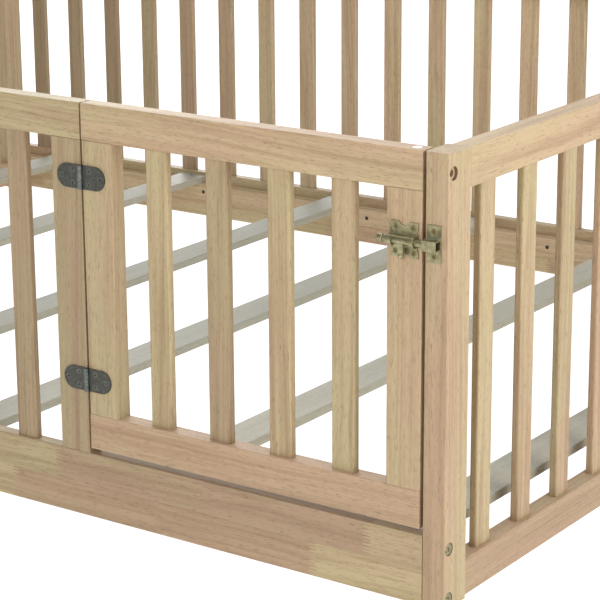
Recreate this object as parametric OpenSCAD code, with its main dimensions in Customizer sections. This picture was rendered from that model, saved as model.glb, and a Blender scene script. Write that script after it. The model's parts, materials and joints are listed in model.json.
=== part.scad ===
// Slatted playpen: a floor bed frame fenced on all four sides, with a gate in
// the front fence. Millimetres. X runs along the front, Y to the back, Z up.
// The origin is on the floor, in the middle of the frame.

/* [Overall] */
// Length along the front, outside the posts
frame_l = 1987; // [1700:1:2200]
// Width from the front face to the back face
frame_w = 1446; // [1250:1:1600]
// Height of the fence
frame_h = 572; // [500:1:700]

/* [Boards] */
// Width of the boards that rails and stiles are cut from
board = 49; // [40:1:52]
// Thickness of the posts, along X
post_t = 33; // [30:1:40]
// Thickness of the side top rails
side_top_t = 28; // [26:1:36]
// Thickness of the side low rails
side_low_t = 25; // [23:1:28]
// Thickness of the front and back top rails and of the gate frame
rail_t = 25; // [24:1:34]
// Width of each of the two boards in a wide low rail
low_w = 46; // [42:1:50]
// Thickness of the wide front and back low rails
low_t = 19; // [18:1:21]
// Gap between the floor and the side low rails
side_lift = 4; // [2:1:10]

/* [Spindles] */
// Width of a spindle
spindle_w = 35; // [28:1:36]
// Thickness of a spindle
spindle_t = 11; // [9:1:12]
// Depth of the mortise that each spindle end sits in
mortise = 10; // [6:1:14]
// Number of spindles in each side panel
side_n = 13; // [11:1:14]
// Number of spindles in the back panel
back_n = 19; // [16:1:20]
// Number of spindles in the fixed front panel
front_n = 13; // [11:1:14]
// Number of spindles in the gate
gate_n = 4; // [3:1:4]
// Clear gap at the ends of the side panels
side_end = 37; // [20:1:45]
// Clear gap at the ends of the back and the fixed front panels
long_end = 48; // [30:1:55]
// Clear gap beside the gate stiles
gate_end = 50; // [45:1:60]

/* [Bed base] */
// Number of slats
slat_n = 6; // [5:1:6]
// Width of a slat
slat_w = 60; // [50:1:65]
// Thickness of a slat
slat_t = 13; // [12:1:18]
// Distance from the right-hand posts to the first slat
slat_start = 7.5; // [4:0.5:20]
// Distance from one slat to the next
slat_pitch = 348; // [330:1:350]
// Height of the ledgers that carry the slats
ledger = 34; // [30:1:36]
// Thickness of the ledgers
ledger_t = 20; // [18:1:24]
// Height of the ledger top above the floor
ledger_top = 73; // [60:1:74]

/* [Gate] */
// Width of the gate
gate_w = 519; // [450:1:600]
// Gap between the gate and the post it latches to
latch_gap = 4; // [4:0.5:6]
// Gap between the gate and the stile it hangs on
hinge_gap = 3; // [3:0.5:4]
// Gap under the gate
gate_lift = 8; // [7:1:20]

/* [Hinges] */
// Height of a leaf
leaf_h = 32; // [28:1:36]
// Length of a leaf from the pin
leaf_l = 40; // [36:1:42]
// Thickness of a leaf
leaf_t = 2; // [1.5:0.5:2]
// Radius of the knuckle
knuckle_r = 3.5; // [3:0.5:4]
// Radius of the pin
pin_r = 1.5; // [1:0.5:1.5]
// Height of the lower hinge
hinge_low_z = 197; // [180:1:240]
// Height of the upper hinge
hinge_high_z = 474; // [400:1:480]

/* [Latch] */
// Height of the bolt
latch_z = 462; // [350:1:480]
// Length of the latch plate
latch_l = 39; // [36:1:40]
// Height of the latch plate
latch_h = 44; // [40:1:48]
// Radius of the bolt
bolt_r = 4.5; // [4:0.5:4.5]
// Outside radius of the barrel
barrel_r = 7; // [7:0.5:8]
// Distance from the wood to the bolt axis
bolt_off = 8; // [8:0.5:9]

/* [Fastenings] */
// Radius of the bolt holes through the posts
hole_r = 4.5; // [4:0.5:5]
// Radius of the counterbore for a bolt head
sink_r = 8.5; // [8:0.5:9.5]
// Depth of the counterbore
sink_d = 4; // [4:1:6]
// Distance from the outer face of a rail to its bolt and dowel line
bolt_line = 9.5; // [9:0.5:10]
// Height of the lowest frame bolt
bolt_low = 13.3; // [12:0.1:15]
// Radius of the dowels
dowel_r = 4; // [3:0.5:4]

/* [Hidden] */
$fn = 32;
running = 0.05;
loose = 0.4;

// Outer planes of the frame
xr = frame_l / 2;
yf = -frame_w / 2;
// Planes that the panels are built on
post_in = xr - post_t;          // inner face of a post
post_back = -yf - board;        // inner end of a side panel
top_z = frame_h - board;        // underside of the top rails
low_h = 2 * low_w;              // height of the front and back low rails
side_z = side_lift + board;     // top of the side low rails
long_y = yf + bolt_line;        // middle plane of the front spindles
side_x = xr - side_low_t / 2;   // middle plane of the right spindles
// Gate edges
gate_x1 = post_in - latch_gap;
gate_x0 = gate_x1 - gate_w;
gate_z0 = low_h + gate_lift;
stile_x1 = gate_x0 - hinge_gap; // free edge of the fixed front panel
gate_y = yf + rail_t / 2;       // middle plane of the gate
// Hinge axis
pin_x = gate_x0 - hinge_gap / 2;
pin_y = yf - knuckle_r;
// Latch places
plate_x = gate_x1 - 4 - latch_l;
bolt_y = yf - bolt_off;
keeper_x = post_in + 4;
keeper_l = 19;
bolt_heights = [bolt_low, low_h - bolt_low];
top_bolt_z = frame_h - board / 2;
// Fastener sizes
shank_r = 3;
nut_r = 5;
nut_l = 14;
nut_at = 30;                    // from the end of the rail to the nut
screw_r = 2;
head_r = 3.8;
head_h = 2.4;
dowel_l = 50;
// The slats are laid by eye: how far each is off its even place
slat_nudge = [0, -27, -25, 15, -10, 0];

// Left corners of n strips of width w spread from a to b, with an end gap
function spread(a, b, n, w, end) =
  [for (i = [0:n - 1]) a + end + i * (b - a - 2 * end - w) / (n - 1)];

right_y = spread(-post_back, post_back, side_n, spindle_w, side_end);
back_x = spread(-post_in, post_in, back_n, spindle_w, long_end);
front_x = spread(-post_in, stile_x1 - board, front_n, spindle_w, long_end);
gate_x = spread(gate_x0 + board, gate_x1 - board, gate_n, spindle_w, gate_end);
slat_x = [for (i = [0:slat_n - 1])
  post_in - slat_start - slat_w - i * slat_pitch + slat_nudge[i]];
ledger_x = spread(-post_in, post_in - 80, 5, 0, 117);

// A block between two corners
module block(x0, x1, y0, y1, z0, z1)
  translate([x0, y0, z0]) cube([x1 - x0, y1 - y0, z1 - z0]);

// Round bars along each axis, centred on the other two
module bar_x(x0, x1, y, z, r)
  translate([x0, y, z]) rotate([0, 90, 0]) cylinder(h = x1 - x0, r = r);
module bar_y(x, y0, y1, z, r)
  translate([x, y0, z]) rotate([-90, 0, 0]) cylinder(h = y1 - y0, r = r);
module bar_z(x, y, z0, z1, r)
  translate([x, y, z0]) cylinder(h = z1 - z0, r = r);

// A spindle whose width runs along X, or along Y
module spindle_long(x, y, z0, z1)
  block(x, x + spindle_w, y - spindle_t / 2, y + spindle_t / 2, z0, z1);
module spindle_side(x, y, z0, z1)
  block(x - spindle_t / 2, x + spindle_t / 2, y, y + spindle_w, z0, z1);

// Bolt from the outside of a right-hand post into a rail along X
module frame_bolt(y, z)
  difference() {
    union() {
      bar_x(xr - sink_d, xr - 0.5, y, z, sink_r - 0.7);
      bar_x(post_in - nut_at - nut_r, xr - sink_d, y, z, shank_r);
    }
    bar_x(xr - 3, xr, y, z, 2.9, $fn = 6);
  }

// Hole for that bolt in a post
module post_hole(y, z) {
  bar_x(post_in - 1, xr + 1, y, z, hole_r);
  bar_x(xr - sink_d, xr + 1, y, z, sink_r);
}

// Hole for that bolt and its cross nut in the end of a rail at the front
module rail_hole(z, inner_y) {
  bar_x(post_in - nut_at - 10, post_in + 1, long_y, z, shank_r + 0.5);
  bar_y(post_in - nut_at, long_y - nut_l / 2, inner_y + 1, z, nut_r + 0.1);
}

// Cross nut
module barrel_nut(z)
  difference() {
    bar_y(post_in - nut_at, long_y - nut_l / 2, long_y + nut_l / 2, z, nut_r);
    bar_x(post_in - nut_at - 9, post_in - nut_at + 9, long_y, z, shank_r + 0.05);
  }

// Countersunk screw along +Y with its head on plane y, and its hole
module screw_y(x, y, z, l) {
  translate([x, y, z]) rotate([-90, 0, 0])
    cylinder(h = head_h, r1 = head_r, r2 = screw_r, $fn = 20);
  bar_y(x, y + head_h, y + l, z, screw_r, $fn = 20);
}
module screw_hole_y(x, y, z, l) {
  translate([x, y, z]) rotate([-90, 0, 0])
    cylinder(h = head_h, r1 = head_r + 0.1, r2 = screw_r + 0.1, $fn = 20);
  bar_y(x, y - 1, y + l + 0.5, z, screw_r + 0.1, $fn = 20);
}

// Cross slot in a screw head that faces -Y
module slot_y(x, y, z) {
  block(x - 2.2, x + 2.2, y - 1, y + 1, z - 0.4, z + 0.4);
  block(x - 0.4, x + 0.4, y - 1, y + 1, z - 2.2, z + 2.2);
}

// ---- Posts -------------------------------------------------------------

// Post at the front right
module post_front()
  difference() {
    block(post_in, xr, yf, -post_back, 0, frame_h);
    for (z = concat(bolt_heights, top_bolt_z)) post_hole(long_y, z);
    for (z = side_dowel_z) bar_y(side_x, -post_back - dowel_l / 2,
                                 -post_back + 1, z, dowel_r + 0.05);
  }

module post_front_right()
  color("burlywood")
  difference() {
    post_front();
    for (z = keeper_z) screw_hole_y(keeper_x + 9.5, yf - 1.5, z, 16);
  }
module post_front_left() color("burlywood") mirror([1, 0, 0]) post_front();
module post_back_right() color("burlywood") mirror([0, 1, 0]) post_front();
module post_back_left()
  color("burlywood") mirror([1, 0, 0]) mirror([0, 1, 0]) post_front();

// ---- Side panels -------------------------------------------------------

// Heights of the dowels that join the side rails to the posts
side_dowel_z = [side_lift + 11, side_z - 11, top_z + 11, frame_h - 11];

module side_spindles()
  for (y = right_y) spindle_side(side_x, y, side_z - mortise, top_z + mortise);

module side_dowels()
  for (z = side_dowel_z, s = [-1, 1])
    bar_y(side_x, s * post_back - dowel_l / 2, s * post_back + dowel_l / 2,
          z, dowel_r);

module side_rail(t, z)
  difference() {
    block(xr - t, xr, -post_back, post_back, z, z + board);
    side_spindles();
    for (z = side_dowel_z, s = [-1, 1])
      bar_y(side_x, s * post_back - dowel_l / 2 - 1,
            s * post_back + dowel_l / 2 + 1, z, dowel_r + 0.05);
  }

module right_top_rail() color("burlywood") side_rail(side_top_t, top_z);
module right_low_rail() color("burlywood") side_rail(side_low_t, side_lift);
module right_spindles() color("tan") side_spindles();
module right_dowels() color("wheat") side_dowels();
module left_top_rail()
  color("burlywood") mirror([1, 0, 0]) side_rail(side_top_t, top_z);
module left_low_rail()
  color("burlywood") mirror([1, 0, 0]) side_rail(side_low_t, side_lift);
module left_spindles() color("tan") mirror([1, 0, 0]) side_spindles();
module left_dowels() color("wheat") mirror([1, 0, 0]) side_dowels();

// ---- Back panel --------------------------------------------------------

module back_spindles()
  color("tan")
  for (x = back_x) spindle_long(x, -long_y, low_h - mortise, top_z + mortise);

module back_top_rail()
  color("burlywood")
  difference() {
    block(-post_in, post_in, -yf - rail_t, -yf, top_z, frame_h);
    back_spindles();
    for (m = [0, 1]) mirror([m, 0, 0]) mirror([0, 1, 0])
      rail_hole(top_bolt_z, yf + rail_t);
  }

// One board of a wide low rail at the front; z is its lower edge
module low_board(z)
  difference() {
    block(-post_in, post_in, yf, yf + low_t, z, z + low_w);
    for (m = [0, 1], h = bolt_heights) mirror([m, 0, 0])
      rail_hole(h, yf + low_t);
    for (x = ledger_x) ledger_screw_hole(x);
  }

module back_low_board()
  color("burlywood")
  difference() {
    mirror([0, 1, 0]) low_board(low_w);
    back_spindles();
  }
module back_floor_board()
  color("burlywood") mirror([0, 1, 0]) low_board(0);

// ---- Fixed front panel -------------------------------------------------

module front_spindles()
  color("tan")
  for (x = front_x) spindle_long(x, long_y, low_h - mortise, top_z + mortise);

// Dowels above and below the end stile
module stile_dowels(clear)
  for (x = [stile_x1 - 11, stile_x1 - board + 11]) {
    bar_z(x, long_y, low_h - 20 - clear, low_h + 20 + clear, dowel_r + clear / 10);
    bar_z(x, long_y, top_z - 20 - clear, top_z + 20 + clear, dowel_r + clear / 10);
  }

module front_dowels() color("wheat") stile_dowels(0);

module front_top_rail()
  color("burlywood")
  difference() {
    block(-post_in, stile_x1, yf, yf + rail_t, top_z, frame_h);
    front_spindles();
    stile_dowels(0.5);
    mirror([1, 0, 0]) rail_hole(top_bolt_z, yf + rail_t);
  }

module front_low_board()
  color("burlywood")
  difference() {
    low_board(low_w);
    front_spindles();
    stile_dowels(0.5);
  }
module front_floor_board() color("burlywood") low_board(0);

module front_end_stile()
  color("burlywood")
  difference() {
    block(stile_x1 - board, stile_x1, yf, yf + rail_t, low_h, top_z);
    stile_dowels(0.5);
    for (z = hinge_z, p = leaf_screws)
      screw_hole_y(pin_x - p[0], yf - leaf_t, z + p[1], 18);
  }

// ---- Bed base ----------------------------------------------------------

module ledger_screw(x)
  translate([x, yf + low_t + ledger_t, ledger_top - ledger / 2])
  mirror([0, 1, 0]) screw_y(0, 0, 0, ledger_t + 14);
module ledger_screw_hole(x)
  translate([x, yf + low_t + ledger_t, ledger_top - ledger / 2])
  mirror([0, 1, 0]) screw_hole_y(0, 0, 0, ledger_t + 14);

// Screws that go down through a slat into the ledger
module slat_screw(x, clear)
  translate([x + slat_w / 2, yf + low_t + ledger_t / 2, ledger_top + slat_t])
  mirror([0, 0, 1]) {
    cylinder(h = head_h, r1 = head_r + clear, r2 = screw_r + clear, $fn = 20);
    translate([0, 0, -clear * 5])
      cylinder(h = slat_t + 16 + clear * 10, r = screw_r + clear, $fn = 20);
  }

module ledger_bar()
  difference() {
    block(2 - post_in, post_in - 2, yf + low_t, yf + low_t + ledger_t,
          ledger_top - ledger, ledger_top);
    for (x = ledger_x) ledger_screw_hole(x);
    for (x = slat_x) slat_screw(x, 0.1);
  }
module front_ledger() color("burlywood") ledger_bar();
module back_ledger() color("burlywood") mirror([0, 1, 0]) ledger_bar();

module bed_slats()
  color("gainsboro")
  difference() {
    for (x = slat_x)
      block(x, x + slat_w, yf + low_t + 1, -yf - low_t - 1,
            ledger_top, ledger_top + slat_t);
    for (m = [0, 1], x = slat_x) mirror([0, m, 0]) slat_screw(x, 0.1);
  }

module slat_screws()
  color("dimgray")
  for (m = [0, 1], x = slat_x) mirror([0, m, 0]) slat_screw(x, 0);

module ledger_screws()
  color("dimgray")
  for (m = [0, 1], x = ledger_x) mirror([0, m, 0]) ledger_screw(x);

// ---- Gate --------------------------------------------------------------

// Dowels between the gate stiles and rails
module corner_dowels(clear)
  for (x = [gate_x0 + 11, gate_x0 + board - 11, gate_x1 - board + 11, gate_x1 - 11],
       z = [gate_z0 + board, top_z])
    bar_z(x, gate_y, z - 20 - clear, z + 20 + clear, dowel_r + clear / 10);

module gate_spindles()
  color("tan")
  for (x = gate_x)
    spindle_long(x, gate_y, gate_z0 + board - mortise, top_z + mortise);

module gate_rail(z)
  difference() {
    block(gate_x0, gate_x1, yf, yf + rail_t, z, z + board);
    gate_spindles();
    corner_dowels(0.5);
  }

module gate_top_rail()
  color("burlywood")
  difference() {
    gate_rail(top_z);
    plug(0.05);
  }
module gate_bottom_rail() color("burlywood") gate_rail(gate_z0);

module gate_stile(x)
  difference() {
    block(x, x + board, yf, yf + rail_t, gate_z0 + board, top_z);
    corner_dowels(0.5);
  }

module gate_hinge_stile()
  color("burlywood")
  difference() {
    gate_stile(gate_x0);
    for (z = hinge_z, p = leaf_screws)
      screw_hole_y(pin_x + p[0], yf - leaf_t, z + p[1], 18);
  }

module gate_latch_stile()
  color("burlywood")
  difference() {
    gate_stile(gate_x1 - board);
    for (p = latch_points) screw_hole_y(p[0], yf - 1.5, p[1], 14);
  }

module gate_dowels() color("wheat") corner_dowels(0);

// Round cover plug let into the top of the gate
module plug(clear)
  bar_z(gate_x1 - 15, gate_y, frame_h - 6 - clear, frame_h, 6 + clear);
module gate_plug() color("white") plug(0);

// ---- Hinges ------------------------------------------------------------

hinge_z = [hinge_low_z, hinge_high_z];
// Screw places in a leaf, from the pin and from mid height
leaf_screws = [[14, leaf_h * 0.28], [14, -leaf_h * 0.28], [leaf_l - 8, 0]];
knuckle_h = leaf_h / 4;         // height of each outer knuckle

// Flat leaf that reaches towards +X from the pin
module leaf_plate(z)
  difference() {
    union() {
      block(pin_x, pin_x + leaf_l - leaf_h / 2, yf - leaf_t, yf,
            z - leaf_h / 2, z + leaf_h / 2);
      bar_y(pin_x + leaf_l - leaf_h / 2, yf - leaf_t, yf, z, leaf_h / 2);
    }
    for (p = leaf_screws)
      screw_hole_y(pin_x + p[0], yf - leaf_t, z + p[1], 18);
  }

// Gate leaf: one knuckle in the middle
module gate_leaf(z)
  color("slategray")
  difference() {
    union() {
      difference() {
        leaf_plate(z);
        for (s = [-1, 1])
          bar_z(pin_x, pin_y, z + s * (leaf_h - knuckle_h) / 2 - knuckle_h / 2 - 0.01,
                z + s * (leaf_h - knuckle_h) / 2 + knuckle_h / 2 + 0.01,
                knuckle_r + loose);
        block(pin_x - 1, pin_x + hinge_gap / 2 + 0.1, yf - knuckle_r, yf + 1,
              z - leaf_h, z - leaf_h / 2 + knuckle_h);
        block(pin_x - 1, pin_x + hinge_gap / 2 + 0.1, yf - knuckle_r, yf + 1,
              z + leaf_h / 2 - knuckle_h, z + leaf_h);
      }
      bar_z(pin_x, pin_y, z - leaf_h / 2 + knuckle_h + 0.3,
            z + leaf_h / 2 - knuckle_h - 0.3, knuckle_r);
    }
    bar_z(pin_x, pin_y, z - leaf_h, z + leaf_h, pin_r + running);
  }

// Frame leaf: a knuckle at each end
module frame_leaf(z)
  color("slategray")
  difference() {
    union() {
      difference() {
        translate([pin_x, 0, 0]) mirror([1, 0, 0]) translate([-pin_x, 0, 0])
          leaf_plate(z);
        bar_z(pin_x, pin_y, z - leaf_h / 2 + knuckle_h - 0.01,
              z + leaf_h / 2 - knuckle_h + 0.01, knuckle_r + loose);
        block(pin_x - hinge_gap / 2, pin_x + 1, yf - knuckle_r, yf + 1,
              z - leaf_h / 2 + knuckle_h, z + leaf_h / 2 - knuckle_h);
      }
      for (s = [-1, 1])
        bar_z(pin_x, pin_y, z + s * (leaf_h - knuckle_h) / 2 - knuckle_h / 2,
              z + s * (leaf_h - knuckle_h) / 2 + knuckle_h / 2, knuckle_r);
    }
    bar_z(pin_x, pin_y, z - leaf_h, z + leaf_h, pin_r);
  }

module hinge_pin(z)
  color("silver") bar_z(pin_x, pin_y, z - leaf_h / 2, z + leaf_h / 2, pin_r);

module hinge_low_frame_leaf() frame_leaf(hinge_low_z);
module hinge_low_gate_leaf() gate_leaf(hinge_low_z);
module hinge_low_pin() hinge_pin(hinge_low_z);
module hinge_high_frame_leaf() frame_leaf(hinge_high_z);
module hinge_high_gate_leaf() gate_leaf(hinge_high_z);
module hinge_high_pin() hinge_pin(hinge_high_z);

// Screws of the leaves on one side of the pin: s is -1 or 1
module leaf_screw_set(s)
  color("dimgray")
  for (z = hinge_z, p = leaf_screws)
    difference() {
      screw_y(pin_x + s * p[0], yf - leaf_t, z + p[1], 17);
      slot_y(pin_x + s * p[0], yf - leaf_t, z + p[1]);
    }
module hinge_frame_screws() leaf_screw_set(-1);
module hinge_gate_screws() leaf_screw_set(1);

// ---- Barrel bolt latch -------------------------------------------------

latch_points = [for (x = [7, latch_l - 7], z = [-1, 1])
  [plate_x + x, latch_z + z * (latch_h / 2 - 7)]];
keeper_z = [latch_z - 15, latch_z + 15];
keeper_t = 1.5;
slot_x0 = plate_x + 8;          // ends of the slot that the lever moves in
slot_x1 = plate_x + latch_l - 6;
lever_w = 7;
lever_x = slot_x0 + 0.5 + 7;    // leaves room to draw the bolt back
cap_l = 8;                      // round end piece of the bolt
cap_x = plate_x - 13;

// Plate with scalloped edges, and the barrel that guides the bolt
module latch_base()
  color("darkkhaki")
  difference() {
    union() {
      difference() {
        block(plate_x, plate_x + latch_l, yf - 1.5, yf,
              latch_z - latch_h / 2, latch_z + latch_h / 2);
        for (s = [-1, 1])
          bar_y(plate_x + latch_l / 2, yf - 3, yf + 1,
                latch_z + s * (latch_h / 2 + 3), 8);
        for (s = [-1, 1])
          bar_y(plate_x + latch_l + 1, yf - 3, yf + 1,
                latch_z + s * (barrel_r + 3), 3);
      }
      block(plate_x, plate_x + latch_l, bolt_y, yf,
            latch_z - barrel_r, latch_z + barrel_r);
      bar_x(plate_x, plate_x + latch_l, bolt_y, latch_z, barrel_r);
    }
    bar_x(plate_x - 1, plate_x + latch_l + 1, bolt_y, latch_z, bolt_r + running);
    block(slot_x0, slot_x1, bolt_y - barrel_r - 1, bolt_y + 4,
          latch_z - barrel_r - 1, latch_z + 4);
    for (p = latch_points) screw_hole_y(p[0], yf - 1.5, p[1], 14);
  }

// Bolt with its lever, turned down
module latch_bolt()
  color("darkkhaki")
  union() {
    bar_x(cap_x + cap_l, post_in + 3, bolt_y, latch_z, bolt_r);
    bar_x(cap_x + 1, cap_x + cap_l + 1, bolt_y, latch_z, bolt_r - 1.5);
    block(lever_x, lever_x + lever_w, bolt_y - 2, bolt_y + 2,
          latch_z - 17, latch_z);
    translate([lever_x + lever_w / 2, bolt_y - 0.5, latch_z - 19]) sphere(r = 3.5);
  }

// Round end piece on the tail of the bolt
module latch_end_cap()
  color("darkkhaki")
  difference() {
    bar_x(cap_x, cap_x + cap_l - 0.3, bolt_y, latch_z, bolt_r + 1);
    bar_x(cap_x + 0.7, cap_x + cap_l + 1, bolt_y, latch_z, bolt_r - 1.5 + running);
  }

// Strap on the post that the bolt shoots into
module latch_keeper()
  color("darkkhaki")
  difference() {
    union() {
      block(keeper_x, keeper_x + keeper_l, yf - keeper_t, yf,
            latch_z - 23, latch_z + 23);
      block(keeper_x, keeper_x + keeper_l, bolt_y - bolt_r - 2, yf,
            latch_z - bolt_r - 2, latch_z + bolt_r + 2);
    }
    block(keeper_x - 1, keeper_x + keeper_l + 1, bolt_y - bolt_r - 0.5,
          bolt_y + bolt_r + 0.5, latch_z - bolt_r - 0.5, latch_z + bolt_r + 0.5);
    for (z = keeper_z) screw_hole_y(keeper_x + 9.5, yf - keeper_t, z, 16);
  }

module latch_screws()
  color("goldenrod")
  for (p = latch_points)
    difference() {
      screw_y(p[0], yf - 1.5, p[1], 13);
      slot_y(p[0], yf - 1.5, p[1]);
    }

module keeper_screws()
  color("goldenrod")
  for (z = keeper_z)
    difference() {
      screw_y(keeper_x + 9.5, yf - keeper_t, z, 15);
      slot_y(keeper_x + 9.5, yf - keeper_t, z);
    }

// ---- Frame fastenings --------------------------------------------------

// Every corner has the two low bolts; the gate corner has no top bolt
module corners(top)
  for (mx = [0, 1], my = [0, 1])
    mirror([mx, 0, 0]) mirror([0, my, 0]) {
      for (z = bolt_heights) corner_part(top, z);
      if (mx == 1 || my == 1) corner_part(top, top_bolt_z);
    }
module corner_part(bolts, z) {
  if (bolts) frame_bolt(long_y, z);
  else barrel_nut(z);
}

module frame_bolts() color("darkgoldenrod") corners(true);
module barrel_nuts() color("silver") corners(false);

post_front_right();
post_front_left();
post_back_right();
post_back_left();
right_top_rail();
right_low_rail();
right_spindles();
right_dowels();
left_top_rail();
left_low_rail();
left_spindles();
left_dowels();
back_top_rail();
back_low_board();
back_floor_board();
back_spindles();
back_ledger();
front_top_rail();
front_low_board();
front_floor_board();
front_spindles();
front_end_stile();
front_dowels();
front_ledger();
bed_slats();
slat_screws();
ledger_screws();
gate_top_rail();
gate_bottom_rail();
gate_hinge_stile();
gate_latch_stile();
gate_spindles();
gate_dowels();
gate_plug();
hinge_low_frame_leaf();
hinge_low_gate_leaf();
hinge_low_pin();
hinge_high_frame_leaf();
hinge_high_gate_leaf();
hinge_high_pin();
hinge_frame_screws();
hinge_gate_screws();
latch_base();
latch_bolt();
latch_end_cap();
latch_keeper();
latch_screws();
keeper_screws();
frame_bolts();
barrel_nuts();
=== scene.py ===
"""Looks for the slatted playpen: eased solid-wood boards with procedural grain,
plywood slats, zinc hinges, an antique-brass barrel bolt, studio light and camera."""
import json
import math
import random

import bmesh
import bpy
from mathutils import Matrix, Vector


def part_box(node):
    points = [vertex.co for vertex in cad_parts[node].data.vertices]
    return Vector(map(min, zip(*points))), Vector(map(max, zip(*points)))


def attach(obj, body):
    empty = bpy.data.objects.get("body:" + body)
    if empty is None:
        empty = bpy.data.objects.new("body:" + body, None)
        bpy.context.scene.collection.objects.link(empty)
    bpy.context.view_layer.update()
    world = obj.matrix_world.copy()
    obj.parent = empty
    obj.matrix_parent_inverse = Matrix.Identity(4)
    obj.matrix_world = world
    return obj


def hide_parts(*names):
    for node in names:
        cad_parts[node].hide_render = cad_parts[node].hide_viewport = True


MM = 0.001
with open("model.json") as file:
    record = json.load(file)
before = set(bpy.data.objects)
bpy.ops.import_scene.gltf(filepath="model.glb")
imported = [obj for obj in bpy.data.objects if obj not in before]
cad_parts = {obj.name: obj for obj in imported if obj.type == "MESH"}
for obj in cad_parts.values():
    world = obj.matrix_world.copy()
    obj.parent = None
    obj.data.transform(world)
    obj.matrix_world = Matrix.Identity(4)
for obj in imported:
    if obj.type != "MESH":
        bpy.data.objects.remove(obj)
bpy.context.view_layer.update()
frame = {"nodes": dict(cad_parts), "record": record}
BODY = {n: b for b, ns in frame["record"]["behaviour"]["bodies"].items() for n in ns}
COLLECTION = bpy.context.scene.collection
X, Y, Z = 0, 1, 2


# ---- Node helpers ---------------------------------------------------------

class Graph:
    """A small writer for shader node trees: each call adds a node and returns it."""

    def __init__(self, name):
        self.material = bpy.data.materials.new(name)
        self.material.use_nodes = True
        self.tree = self.material.node_tree
        self.shader = self.tree.nodes["Principled BSDF"]

    def put(self, value, socket):
        if isinstance(value, bpy.types.NodeSocket):
            self.tree.links.new(value, socket)
        else:
            socket.default_value = value

    def node(self, kind, settings=None, **inputs):
        n = self.tree.nodes.new(kind)
        for key, value in (settings or {}).items():
            setattr(n, key, value)
        for key, value in inputs.items():
            self.put(value, n.inputs[key.replace("_", " ")])
        return n

    def attribute(self, name):
        return self.node("ShaderNodeAttribute", {"attribute_name": name}).outputs["Vector"]

    def split(self, vector):
        return self.node("ShaderNodeSeparateXYZ", Vector=vector).outputs

    def chance(self, value):
        """Random outputs, 'Value' and 'Color', that stay the same up to the next whole
        number."""
        return self.node("ShaderNodeTexWhiteNoise", {"noise_dimensions": "1D"},
                         W=self.math("FLOOR", value)).outputs

    def math(self, op, a, b=0.0, clamp=False):
        n = self.tree.nodes.new("ShaderNodeMath")
        n.operation, n.use_clamp = op, clamp
        self.put(a, n.inputs[0])
        self.put(b, n.inputs[1])
        return n.outputs[0]

    def vector(self, op, a, b=(0, 0, 0)):
        n = self.tree.nodes.new("ShaderNodeVectorMath")
        n.operation = op
        self.put(a, n.inputs[0])
        if op != "LENGTH":
            self.put(b, n.inputs[1])
        return n.outputs["Value" if op == "LENGTH" else "Vector"]

    def mix(self, factor, a, b, blend="MIX"):
        n = self.tree.nodes.new("ShaderNodeMix")
        n.data_type, n.blend_type = "RGBA", blend
        self.put(factor, n.inputs[0])
        self.put(a, n.inputs[6])
        self.put(b, n.inputs[7])
        return n.outputs[2]

    def noise(self, vector, scale, detail=2.0, rough=0.5):
        n = self.tree.nodes.new("ShaderNodeTexNoise")
        self.put(vector, n.inputs["Vector"])
        self.put(scale, n.inputs["Scale"])
        self.put(detail, n.inputs["Detail"])
        self.put(rough, n.inputs["Roughness"])
        return n.outputs["Fac"]

    def span(self, value, low, high, to_low=0.0, to_high=1.0, smooth=False):
        n = self.tree.nodes.new("ShaderNodeMapRange")
        n.interpolation_type = "SMOOTHSTEP" if smooth else "LINEAR"
        for i, v in enumerate((value, low, high, to_low, to_high)):
            self.put(v, n.inputs[i])
        return n.outputs[0]

    def bump(self, height, distance, strength=1.0):
        n = self.tree.nodes.new("ShaderNodeBump")
        self.put(strength, n.inputs["Strength"])
        self.put(distance, n.inputs["Distance"])
        self.put(height, n.inputs["Height"])
        self.put(n.outputs[0], self.shader.inputs["Normal"])


def rgb(r, g, b):
    return (r, g, b, 1.0)


# ---- Materials ------------------------------------------------------------

BLOCK_LENGTH = 250 * MM
FINGER_LENGTH = 12 * MM
FINGER_PITCH = 2.3 * MM
RING_WIDTH = 5.2 * MM


def finger_joints(g, grain, light, pink):
    """A board glued up from blocks, each with a place in the log and a shade of its own.
    Returns the changed grain, light and pink, and how near a point is to a glue line.
    The 'place' attribute holds each point's place along and across the board."""
    along, across, _ = g.split(g.attribute("place"))
    finger = g.span(g.math("PINGPONG", across, FINGER_PITCH), 0.5 * MM, 1.8 * MM)
    run = g.math("ADD", g.math("DIVIDE", along, BLOCK_LENGTH),
                 g.math("MULTIPLY", finger, FINGER_LENGTH / BLOCK_LENGTH))
    block = g.chance(run)
    grain = g.vector("ADD", grain, g.vector("MULTIPLY", block["Color"], (9.0, 0.05, 0.05)))
    pink = g.math("ADD", pink, g.span(block["Value"], 0, 1, -0.45, 0.50))
    light = g.math("MULTIPLY", light, g.span(block["Value"], 0, 1, 1.07, 0.90))
    edge = g.math("ABSOLUTE", g.math("SUBTRACT", g.math("FRACT", g.math("ADD", run, 0.5)), 0.5))
    return grain, light, pink, g.span(edge, 0.0, 0.0025, 1.0, 0.0)


def wander(g, grain, scale, detail, reach):
    """A shift across the grain that changes slowly along it: the trunk is not straight."""
    drift = g.node("ShaderNodeTexNoise", Vector=g.vector("MULTIPLY", grain, scale),
                   Scale=1.0, Detail=detail).outputs["Color"]
    return g.vector("MULTIPLY", g.vector("SUBTRACT", drift, (0.5, 0.5, 0.5)), (0, reach, reach))


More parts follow.
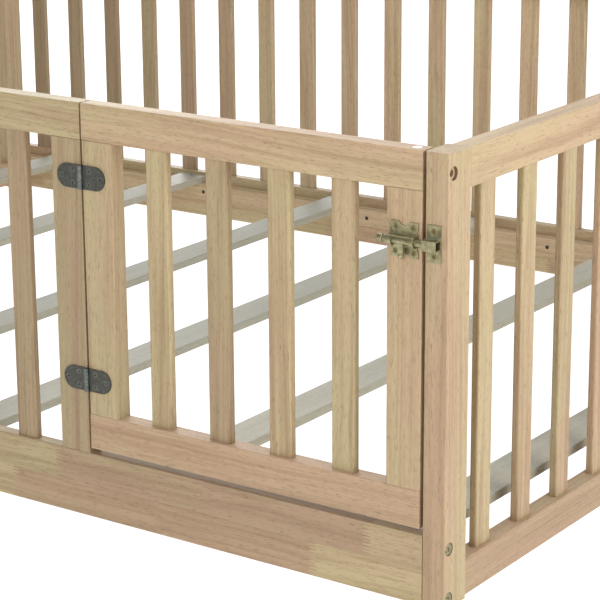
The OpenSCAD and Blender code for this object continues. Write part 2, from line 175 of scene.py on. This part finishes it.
def late_wood(g, log):
    """How dark the year rings are at a point of the log: each ring darkens slowly
    outwards and ends sharply, and some are stronger than others."""
    radius = g.vector("LENGTH", g.vector("MULTIPLY", log, (0, 1, 1)))
    age = g.math("MULTIPLY", radius, 1 / RING_WIDTH)
    year = g.math("FRACT", age)
    late = g.math("MULTIPLY", g.span(year, 0.35, 0.93, smooth=True),
                  g.span(year, 0.93, 1.0, 1.0, 0.0, smooth=True))
    return g.math("MULTIPLY", late, g.span(g.chance(age)["Value"], 0, 1, 0.15, 1.0))


def wood_material(name, pale, warm, deep, blocks=False, contrast=1.0):
    """Solid wood cut from a log. The 'grain' attribute holds each point's place in
    the log (x along the trunk, y and z from the pith); 'tone' holds how light, how
    pink and how figured the board is. With blocks, the board is finger-jointed."""
    g = Graph(name)
    grain = g.attribute("grain")
    light, pink, figure = g.split(g.attribute("tone"))
    joint = 0.0
    if blocks:
        grain, light, pink, joint = finger_joints(g, grain, light, pink)
    sway = wander(g, grain, (2.2, 5, 5), 1.0, 22 * MM)
    ripple = wander(g, grain, (14, 60, 60), 2.0, 3.5 * MM)
    log = g.vector("ADD", g.vector("ADD", grain, sway), ripple)
    late = late_wood(g, log)

    streak = g.noise(g.vector("MULTIPLY", log, (3.0, 210, 210)), 1.0, 4.0, 0.62)
    broad = g.noise(g.vector("MULTIPLY", grain, (2.6, 24, 24)), 1.0, 3.0)
    band = g.noise(g.vector("MULTIPLY", log, (1.2, 60, 60)), 1.0, 3.0, 0.6)
    fibre = g.noise(g.vector("MULTIPLY", grain, (24, 1200, 1200)), 1.0, 2.0, 0.7)
    pore = g.noise(g.vector("MULTIPLY", grain, (85, 1050, 1050)), 1.0, 2.0, 0.6)
    pore = g.span(pore, 0.58, 0.69, smooth=True)

    hue = g.math("ADD", pink, g.span(broad, 0.35, 0.65, -0.42, 0.42), clamp=True)
    colour = g.mix(hue, rgb(*pale), rgb(*warm))
    dark = g.math("MULTIPLY", late, g.math("MULTIPLY", figure, 0.45 * contrast))
    dark = g.math("ADD", dark, g.span(band, 0.35, 0.68, -0.16 * contrast, 0.32 * contrast))
    dark = g.math("ADD", dark, g.span(streak, 0.35, 0.7, -0.12 * contrast, 0.34 * contrast))
    dark = g.math("ADD", dark, g.math("MULTIPLY", joint, 0.22), clamp=True)
    colour = g.mix(dark, colour, rgb(*deep))
    colour = g.mix(g.math("MULTIPLY", pore, 0.62), colour, rgb(*[c * 0.6 for c in deep]))
    fleck = g.span(fibre, 0.3, 0.7, 0.93, 1.06)
    bright = g.math("MULTIPLY", light, fleck)
    whole = g.node("ShaderNodeCombineXYZ", X=bright, Y=bright, Z=bright).outputs[0]
    colour = g.mix(1.0, colour, whole, "MULTIPLY")
    g.put(colour, g.shader.inputs["Base Color"])
    g.put(g.span(fibre, 0.3, 0.7, 0.50, 0.64), g.shader.inputs["Roughness"])
    g.shader.inputs["Specular IOR Level"].default_value = 0.35
    relief = g.math("SUBTRACT", g.math("MULTIPLY", fibre, 0.35), g.math("MULTIPLY", pore, 0.6))
    relief = g.math("SUBTRACT", relief, g.math("MULTIPLY", joint, 0.3))
    relief = g.math("ADD", relief, g.math("MULTIPLY", late, 0.25))
    g.bump(relief, 0.00025, 0.5)
    return g.material


def metal_material(name, base, worn, rough, metallic=1.0, scale=260.0, relief=0.00012):
    """Plated metal: a mottled plating, rubbed brighter in places, with fine scratches."""
    g = Graph(name)
    place = g.node("ShaderNodeTexCoord").outputs["Object"]
    cloud = g.noise(place, scale, 4.0, 0.6)
    grit = g.noise(place, scale * 9, 2.0, 0.7)
    rub = g.noise(g.vector("MULTIPLY", place, (1, 1, 5)), scale * 1.7, 3.0, 0.6)
    colour = g.mix(g.span(cloud, 0.36, 0.68), rgb(*base), rgb(*worn))
    colour = g.mix(g.span(grit, 0.52, 0.75, 0.0, 0.35), colour, rgb(*[c * 0.45 for c in base]))
    g.put(colour, g.shader.inputs["Base Color"])
    g.shader.inputs["Metallic"].default_value = metallic
    g.put(g.span(rub, 0.3, 0.7, rough - 0.08, rough + 0.12), g.shader.inputs["Roughness"])
    g.bump(g.math("ADD", cloud, g.math("MULTIPLY", grit, 0.4)), relief, 0.7)
    return g.material


def plastic_material(name, colour):
    """Moulded plastic with a faint haze."""
    g = Graph(name)
    place = g.node("ShaderNodeTexCoord").outputs["Object"]
    haze = g.noise(place, 420.0, 3.0)
    g.put(g.mix(g.span(haze, 0.4, 0.6), rgb(*colour), rgb(*[c * 0.93 for c in colour])),
          g.shader.inputs["Base Color"])
    g.shader.inputs["Roughness"].default_value = 0.38
    g.bump(haze, 0.00005, 0.4)
    return g.material


def floor_material(name):
    """A glowing white floor, on which shadows are faint."""
    g = Graph(name)
    place = g.node("ShaderNodeTexCoord").outputs["Object"]
    tint = g.mix(g.noise(place, 1.3, 3.0), rgb(0.20, 0.20, 0.20), rgb(0.22, 0.22, 0.22))
    g.put(tint, g.shader.inputs["Base Color"])
    g.shader.inputs["Roughness"].default_value = 0.9
    g.shader.inputs["Emission Color"].default_value = rgb(1, 1, 1)
    g.shader.inputs["Emission Strength"].default_value = 1.0
    return g.material


PALE = (0.485, 0.392, 0.216)
WARM = (0.495, 0.335, 0.210)
DEEP = (0.270, 0.160, 0.080)
WOOD = wood_material("wood", PALE, WARM, DEEP)
# Painted shade: a dark brown wood for the walls of the bolt holes, standing in for the shade deep
# inside them
WOOD_PAINTED_HOLE_SHADE = wood_material("wood_painted_hole_shade", (0.17, 0.080, 0.028), (0.16, 0.070, 0.025),
                             (0.08, 0.035, 0.012))
WOOD_JOINTED = wood_material("wood_finger_jointed", PALE, WARM, DEEP, blocks=True)
SLAT_WOOD = wood_material("slat_wood", (0.385, 0.37, 0.285), (0.385, 0.35, 0.26),
                          (0.27, 0.235, 0.165), contrast=0.5)
HINGE = metal_material("hinge_zinc", (0.050, 0.050, 0.042), (0.105, 0.102, 0.086), 0.42,
                       metallic=0.55, scale=420.0)
SCREW = metal_material("screw_zinc", (0.17, 0.165, 0.14), (0.32, 0.31, 0.27), 0.36)
SCREW_GREY = metal_material("screw_grey", (0.09, 0.088, 0.075), (0.20, 0.195, 0.165), 0.38)
# The pin metal is also a painted highlight on the hinge knuckles
PIN_AND_KNUCKLE_HIGHLIGHT = metal_material("pin_zinc_and_knuckle_highlight", (0.115, 0.13, 0.122), (0.23, 0.245, 0.23), 0.42)
# Painted shade: a dark metal for the ledger screws, standing in for the shade they sit in
SCREW_PAINTED_SHADE = metal_material("screw_painted_shade", (0.045, 0.038, 0.03), (0.09, 0.075, 0.06), 0.5)
BRASS = metal_material("latch_brass", (0.25, 0.228, 0.122), (0.40, 0.365, 0.22), 0.35,
                       metallic=0.85, scale=190.0, relief=0.00005)
BRASS_DARK = metal_material("screw_brass", (0.15, 0.12, 0.055), (0.33, 0.28, 0.14), 0.34)
BOLT = metal_material("bolt_yellow_zinc", (0.19, 0.17, 0.085), (0.38, 0.35, 0.21), 0.30)
NUT = metal_material("nut_zinc", (0.45, 0.45, 0.43), (0.62, 0.62, 0.60), 0.35)
PLUG = plastic_material("plug_white", (0.88, 0.89, 0.90))
DOWEL = wood_material("dowel_beech", (0.66, 0.50, 0.32), (0.64, 0.46, 0.30), (0.42, 0.28, 0.16),
                      contrast=0.5)


# ---- Mesh helpers ---------------------------------------------------------

def solids(node):
    """(lowest corner, highest corner) of each separate solid of a CAD node, by X, Y, Z."""
    bm = bmesh.new()
    bm.from_mesh(frame["nodes"][node].data)
    bmesh.ops.remove_doubles(bm, verts=bm.verts, dist=1e-6)
    seen, found = set(), []
    for start in bm.verts:
        if start in seen:
            continue
        seen.add(start)
        queue, members = [start], []
        while queue:
            v = queue.pop()
            members.append(v.co)
            for e in v.link_edges:
                w = e.other_vert(v)
                if w not in seen:
                    seen.add(w)
                    queue.append(w)
        lo = Vector([min(c[i] for c in members) for i in range(3)])
        hi = Vector([max(c[i] for c in members) for i in range(3)])
        found.append((lo, hi))
    bm.free()
    return sorted(found, key=lambda b: tuple(round(c, 4) for c in b[0]))


def eased_box(lo, hi, axis, ease, end_ease, butt=None):
    """A bmesh of a board from lo to hi whose long edges, along axis, are rounded by
    ease, and whose end edges are rounded by end_ease. The face given by butt, as an
    axis and a side, meets a neighbour, so its edges stay almost sharp."""
    bm = bmesh.new()
    bmesh.ops.create_cube(bm, size=1.0)
    size, mid = hi - lo, (hi + lo) / 2
    for v in bm.verts:
        v.co = Vector([v.co[i] * size[i] + mid[i] for i in range(3)])
    long_edges = [e for e in bm.edges
                  if abs((e.verts[0].co - e.verts[1].co).normalized()[axis]) > 0.9]
    joined = []
    if butt:
        face = hi[butt[0]] if butt[1] > 0 else lo[butt[0]]
        joined = [e for e in long_edges if abs(e.verts[0].co[butt[0]] - face) < 1e-7]
    for edges, radius in ((joined, 0.25 * MM),
                          ([e for e in long_edges if e not in joined], ease)):
        if edges:
            bmesh.ops.bevel(bm, geom=edges, offset=radius, offset_type="OFFSET", segments=5,
                            profile=0.5, affect="EDGES")
    if end_ease:
        ends = [e for e in bm.edges
                if abs(e.verts[0].co[axis] - e.verts[1].co[axis]) < 1e-7
                and min(abs(e.verts[0].co[axis] - p[axis]) for p in (lo, hi)) < 1e-7]
        bmesh.ops.bevel(bm, geom=ends, offset=end_ease, offset_type="OFFSET", segments=3,
                        profile=0.5, affect="EDGES", clamp_overlap=True)
    bmesh.ops.recalc_face_normals(bm, faces=bm.faces)
    return bm


def cut_log(lo, hi, axis, rng, pith=None, tilt=None):
    """A function from a point of the board to its place in the log it was cut from."""
    mid = (lo + hi) / 2
    b, c = [i for i in range(3) if i != axis]
    turn = rng.uniform(0, math.tau)
    deep = rng.uniform(0.025, 0.11) if pith is None else pith
    start = rng.uniform(0, 60)
    tilt = rng.uniform(-0.03, 0.03) if tilt is None else tilt
    cos_t, sin_t = math.cos(turn), math.sin(turn)

    def place(p):
        x, y, z = p[axis] - mid[axis], p[b] - mid[b], p[c] - mid[c]
        return (start + x, y * cos_t - z * sin_t + deep + tilt * x, y * sin_t + z * cos_t)
    return place


def to_object(name, bm, node, material, grain=None, tone=None, place=None):
    """A finished object from a bmesh, riding on its node's body and standing for it."""
    mesh = bpy.data.meshes.new(name)
    bm.to_mesh(mesh)
    bm.free()
    for attribute, values in (("grain", grain), ("tone", tone), ("place", place)):
        if values is not None:
            a = mesh.attributes.new(attribute, "FLOAT_VECTOR", "POINT")
            a.data.foreach_set("vector", [c for v in values for c in v])
    mesh.shade_smooth()
    mesh.materials.append(material)
    obj = bpy.data.objects.new(name, mesh)
    COLLECTION.objects.link(obj)
    even = obj.modifiers.new("even_normals", "WEIGHTED_NORMAL")
    even.keep_sharp, even.weight = True, 100
    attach(obj, BODY[node])
    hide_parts(node)
    return obj


def gather(pieces):
    """Joins (bmesh, grain function, tone) pieces into one bmesh and its attributes."""
    whole, grain, tone = bmesh.new(), [], []
    for bm, place, shade in pieces:
        mesh = bpy.data.meshes.new("part")
        bm.to_mesh(mesh)
        bm.free()
        grain += [place(v.co) for v in mesh.vertices]
        tone += [shade] * len(mesh.vertices)
        whole.from_mesh(mesh)
        bpy.data.meshes.remove(mesh)
    return whole, grain, tone


def wood_piece(node, axis, ease, end_ease=0.5 * MM, tones=None, trim=0.0, material=None,
               pith=None, tilt=None, blocks=False, cut=None, butt=None):
    """Eased boards in place of the solids of a node. tones is (light, pink, figure) for
    every solid in turn; trim shortens each end, where it sits in a mortise."""
    rng = random.Random(node)
    pieces = []
    for i, (lo, hi) in enumerate(solids(node)):
        lo[axis] += trim
        hi[axis] -= trim
        if tones:
            shade = tones[i % len(tones)]
        else:
            shade = (rng.uniform(0.90, 1.06), rng.uniform(0.0, 0.9), rng.uniform(0.15, 0.7))
        bm = eased_box(lo, hi, axis, ease, end_ease, butt)
        if cut:
            bm = cut(bm)
        pieces.append((bm, cut_log(lo, hi, axis, rng, pith, tilt), shade))
    whole, grain, tone = gather(pieces)
    along = rng.uniform(0.0, BLOCK_LENGTH)
    spot = [(v.co.x + along, v.co.z, 0) for v in whole.verts] if blocks else None
    obj = to_object("look_" + node, whole, node,
                    material or (WOOD_JOINTED if blocks else WOOD), grain, tone, spot)
    if cut:
        # The second slot is painted shade for the walls of the holes
        obj.data.materials.append(WOOD_PAINTED_HOLE_SHADE)
    return obj


# ---- Wood -----------------------------------------------------------------

RAIL_EASE, POST_EASE, SPINDLE_EASE = 1.5 * MM, 2.8 * MM, 2.9 * MM
MORTISE = 9.5 * MM
COUNTERBORE_DEPTH, COUNTERBORE_GAP = 4 * MM, 0.7 * MM
BOLT_HOLE_R, BOLT_HOLE_DEPTH = 4.5 * MM, 26 * MM
OVERRUN = 5 * MM


def bolt_holes(post):
    """A function that cuts the counterbored bolt holes of a post into its eased board,
    and gives the walls of the holes the second material slot, a dark wood that is painted shade."""
    lo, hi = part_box(post)
    outward = 1 if hi.x > 0 else -1
    outer = hi.x if outward > 0 else lo.x
    near = [b for b in solids("frame_bolts")
            if lo.y < (b[0].y + b[1].y) / 2 < hi.y and (b[0].x + b[1].x) * outward > 0]
    spots = [((b[0].y + b[1].y) / 2, (b[0].z + b[1].z) / 2) for b in near]
    for mount in frame["record"]["mounts"]:
        x, y, z = mount["pos_m"]
        if mount["kind"] == "bore" and lo.x < x < hi.x and lo.y < y < hi.y:
            spots.append((y, z))
    counterbore_r = max(b[1].z - b[0].z for b in near) / 2 + COUNTERBORE_GAP

    def cut(bm):
        board = bpy.data.meshes.new("board")
        bm.to_mesh(board)
        bm.free()
        body = bpy.data.objects.new("board", board)
        COLLECTION.objects.link(body)
        cutters = []
        for r, depth in ((counterbore_r, COUNTERBORE_DEPTH), (BOLT_HOLE_R, BOLT_HOLE_DEPTH)):
            tool = bmesh.new()
            for y, z in spots:
                shift = Matrix.Translation((outer - outward * (depth - OVERRUN) / 2, y, z))
                bmesh.ops.create_cone(tool, cap_ends=True, segments=40, radius1=r,
                                      radius2=r, depth=depth + OVERRUN,
                                      matrix=shift @ Matrix.Rotation(math.pi / 2, 4, "Y"))
            mesh = bpy.data.meshes.new("cutter")
            tool.to_mesh(mesh)
            tool.free()
            cutters.append(bpy.data.objects.new("cutter", mesh))
            COLLECTION.objects.link(cutters[-1])
            drill = body.modifiers.new("drill", "BOOLEAN")
            drill.operation, drill.solver, drill.object = "DIFFERENCE", "EXACT", cutters[-1]
        bpy.context.view_layer.update()
        done = body.evaluated_get(bpy.context.evaluated_depsgraph_get()).to_mesh()
        result = bmesh.new()
        result.from_mesh(done)
        # Painted shade: the faces of the hole walls take the dark second material
        for face in result.faces:
            mid = face.calc_center_median()
            across = abs(face.normal.x) < 0.5 and lo.x + 5 * MM < mid.x < hi.x - 0.5 * MM
            if across and any(math.hypot(mid.y - y, mid.z - z) < counterbore_r + 0.2 * MM
                              for y, z in spots):
                face.material_index = 1
        for obj in [body] + cutters:
            mesh = obj.data
            bpy.data.objects.remove(obj)
            bpy.data.meshes.remove(mesh)
        return result
    return cut


for post, shade in (("post_front_right", (0.96, 0.55, 0.25)),
                    ("post_front_left", (1.0, 0.4, 0.3)),
                    ("post_back_right", (0.98, 0.5, 0.3)),
                    ("post_back_left", (0.94, 0.3, 0.3))):
    inward = (Y, 1 if "front" in post else -1)
    wood_piece(post, Z, POST_EASE, 2.5 * MM, [shade], cut=bolt_holes(post), butt=inward)

wood_piece("right_top_rail", Y, RAIL_EASE, tones=[(1.02, 0.45, 0.35)])
wood_piece("right_low_rail", Y, RAIL_EASE, tones=[(0.86, 0.85, 0.30)])
wood_piece("left_top_rail", Y, RAIL_EASE)
wood_piece("left_low_rail", Y, RAIL_EASE)
wood_piece("back_top_rail", X, RAIL_EASE)
wood_piece("front_top_rail", X, RAIL_EASE, tones=[(0.98, 0.10, 0.50)], pith=0.05)
wood_piece("front_end_stile", Z, RAIL_EASE, tones=[(0.82, 0.50, 0.30)])
wood_piece("gate_top_rail", X, RAIL_EASE, tones=[(1.04, 0.50, 0.35)], pith=0.03, tilt=0.035)
wood_piece("gate_bottom_rail", X, RAIL_EASE, tones=[(1.0, 0.95, 0.30)], butt=(Z, -1))
wood_piece("gate_hinge_stile", Z, RAIL_EASE, tones=[(0.97, 0.20, 0.35)])
wood_piece("gate_latch_stile", Z, RAIL_EASE, tones=[(1.02, 0.45, 0.40)])
for side in ("front", "back"):
    wood_piece(f"{side}_low_board", X, 1.3 * MM, 0.4 * MM, [(0.89, 0.55, 0.30)], blocks=True,
               butt=(Z, -1))
    wood_piece(f"{side}_floor_board", X, 2.0 * MM, 0.4 * MM, [(0.98, 0.45, 0.30)], blocks=True,
               butt=(Z, 1))
wood_piece("front_ledger", X, 1.5 * MM)
wood_piece("back_ledger", X, 1.5 * MM, tones=[(0.98, 0.30, 0.30)])

SPINDLE_TONES = [(1.00, 0.20, 0.35), (0.84, 0.60, 0.30), (1.01, 0.25, 0.45), (0.99, 0.40, 0.25)]
wood_piece("gate_spindles", Z, SPINDLE_EASE, 0, SPINDLE_TONES, MORTISE)
for node in ("right_spindles", "left_spindles"):
    wood_piece(node, Z, SPINDLE_EASE, 0, None, MORTISE)
wood_piece("front_spindles", Z, SPINDLE_EASE, 0, [(0.82, 0.5, 0.3), (0.90, 0.3, 0.3)], MORTISE)
# Painted shade: the back spindles' tones are darker at the left and grow lighter to the right,
# standing in for the light falling off towards the back left
BACK_TONES_PAINTED_SHADE = [(min(1.05, 0.66 + 0.038 * i) + 0.03 * math.sin(2.3 * i),
               0.55 + 0.22 * math.sin(1.7 * i), 0.35) for i in range(19)]
wood_piece("back_spindles", Z, SPINDLE_EASE, 0, BACK_TONES_PAINTED_SHADE, MORTISE)
wood_piece("bed_slats", Y, 1.5 * MM, 0.6 * MM, None, material=SLAT_WOOD)


# ---- Hardware -------------------------------------------------------------

SHARP = 0.7    # radians: the faces of a sharp edge turn by more than this
KNUCKLE_HIGHLIGHT_R = 3.8 * MM
PROUD = 0.35 * MM


def fitting(node, material, ease, lift=None):
    """The CAD fitting with its sharp edges broken. Lift gives how far a point of it
    stands proud, for a head flush with the wood."""
    bm = bmesh.new()
    bm.from_mesh(frame["nodes"][node].data)
    bmesh.ops.remove_doubles(bm, verts=bm.verts, dist=1e-6)
    bmesh.ops.dissolve_limit(bm, angle_limit=math.radians(1), verts=bm.verts, edges=bm.edges)
    sharp = [e for e in bm.edges
             if len(e.link_faces) == 2 and e.is_convex and e.calc_face_angle(0) > SHARP]
    if ease:
        bmesh.ops.bevel(bm, geom=sharp, offset=ease, offset_type="OFFSET", segments=2,
                        profile=0.5, affect="EDGES", clamp_overlap=True)
    if lift:
        for v in bm.verts:
            v.co += Vector(lift(v.co))
    return to_object("look_" + node, bm, node, material)


for height in ("low", "high"):
    pin_lo, pin_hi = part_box(f"hinge_{height}_pin")
    pin = (pin_lo + pin_hi) / 2
    for leaf in ("frame", "gate"):
        obj = fitting(f"hinge_{height}_{leaf}_leaf", HINGE, 0.35 * MM)
        obj.data.materials.append(PIN_AND_KNUCKLE_HIGHLIGHT)    # painted highlight: the knuckles get the brighter pin metal, standing in for the light strip along them
        for face in obj.data.polygons:
            if math.hypot(face.center.x - pin.x, face.center.y - pin.y) < KNUCKLE_HIGHLIGHT_R:
                face.material_index = 1
    fitting(f"hinge_{height}_pin", PIN_AND_KNUCKLE_HIGHLIGHT, 0.3 * MM)
for node, material, ease in (("latch_base", BRASS, 0.4 * MM), ("latch_bolt", BRASS, 0.6 * MM),
                             ("latch_end_cap", BRASS, 1.6 * MM), ("latch_keeper", BRASS, 0.5 * MM),
                             ("frame_bolts", BOLT, 0.6 * MM)):
    fitting(node, material, ease)
fitting("gate_plug", PLUG, 0.8 * MM, lambda p: (0, 0, PROUD))
fitting("slat_screws", SCREW, 0, lambda p: (0, 0, PROUD))
fitting("ledger_screws", SCREW_PAINTED_SHADE, 0, lambda p: (0, math.copysign(PROUD, -p.y), 0))

PLAIN = {"hinge_frame_screws": SCREW_GREY, "hinge_gate_screws": SCREW_GREY,
         "latch_screws": BRASS_DARK, "keeper_screws": BRASS_DARK,
         "barrel_nuts": NUT, "right_dowels": DOWEL, "left_dowels": DOWEL,
         "front_dowels": DOWEL, "gate_dowels": DOWEL}
for node, material in PLAIN.items():
    for slot in frame["nodes"][node].material_slots:
        slot.material = material


# ---- Studio ---------------------------------------------------------------

def area_light(name, at, aim, size, power, colour=(1, 1, 1)):
    light = bpy.data.lights.new(name, "AREA")
    light.shape, light.size, light.energy, light.color = "DISK", size, power, colour
    obj = bpy.data.objects.new(name, light)
    obj.location = at
    obj.rotation_euler = (Vector(aim) - Vector(at)).to_track_quat("-Z", "Y").to_euler()
    COLLECTION.objects.link(obj)


FAR = 30.0
floor_mesh = bpy.data.meshes.new("floor")
floor_mesh.from_pydata([(-FAR, -FAR, 0), (FAR, -FAR, 0), (FAR, FAR, 0), (-FAR, FAR, 0)], [],
                       [(0, 1, 2, 3)])
floor_mesh.materials.append(floor_material("floor_white"))
floor = bpy.data.objects.new("floor", floor_mesh)
floor.location.z = -0.0005
COLLECTION.objects.link(floor)


def backdrop_glow(start, full, dim, bright):
    """The room: a white backdrop glows behind the object, and all the rest is dim. The
    glow starts and is full at two cosines of the angle from its middle."""
    world = bpy.data.worlds.new("studio")
    bpy.context.scene.world = world
    world.use_nodes = True
    tree = world.node_tree
    background = tree.nodes["Background"]
    background.inputs["Color"].default_value = rgb(0.98, 0.99, 1.0)
    toward = tree.nodes.new("ShaderNodeVectorMath")
    toward.operation = "DOT_PRODUCT"
    toward.inputs[1].default_value = (-0.57, 0.82, 0.0)
    glow = tree.nodes.new("ShaderNodeMapRange")
    glow.interpolation_type = "SMOOTHSTEP"
    for i, value in enumerate((start, full, dim, bright)):
        glow.inputs[i + 1].default_value = value
    around = tree.nodes.new("ShaderNodeTexCoord")
    tree.links.new(around.outputs["Generated"], toward.inputs[0])
    tree.links.new(toward.outputs["Value"], glow.inputs[0])
    tree.links.new(glow.outputs[0], background.inputs["Strength"])


backdrop_glow(0.45, 0.95, 0.13, 1.3)
area_light("key", (3.2, -0.7, 1.3), (0.9, -0.1, 0.3), 2.2, 57)
area_light("front_fill", (1.0, -2.7, 1.25), (0.6, -0.7, 0.3), 1.2, 22)
area_light("top", (0.6, -0.2, 3.5), (0.5, 0.0, 0.0), 2.6, 72, (0.92, 0.98, 1.12))
area_light("back_fill", (-2.6, 3.0, 1.5), (0.0, 0.6, 0.3), 1.6, 50)


def place_camera(at, yaw, pitch, roll, lens, shift):
    """A camera at a point, turned by three angles in degrees."""
    data = bpy.data.cameras.new("camera")
    data.lens, data.sensor_width = lens, 36.0
    data.shift_x, data.shift_y = shift
    data.clip_end = 60.0
    camera = bpy.data.objects.new("camera", data)
    yaw, pitch, roll = math.radians(yaw), math.radians(pitch), math.radians(roll)
    forward = Vector((-math.sin(yaw) * math.cos(pitch), math.cos(yaw) * math.cos(pitch),
                      -math.sin(pitch)))
    right = Vector((math.cos(yaw), math.sin(yaw), 0))
    up = right.cross(forward)
    side = math.cos(roll) * right + math.sin(roll) * up
    top = math.cos(roll) * up - math.sin(roll) * right
    turn = Matrix((side, top, -forward)).transposed().to_4x4()
    camera.matrix_world = Matrix.Translation(at) @ turn
    COLLECTION.objects.link(camera)
    bpy.context.scene.camera = camera


place_camera((2.3012, -2.9003, 1.1366), 34.897, 16.178, -0.363, 134.92, (-0.0012, -0.0044))
bpy.context.scene.view_settings.view_transform = "Standard"
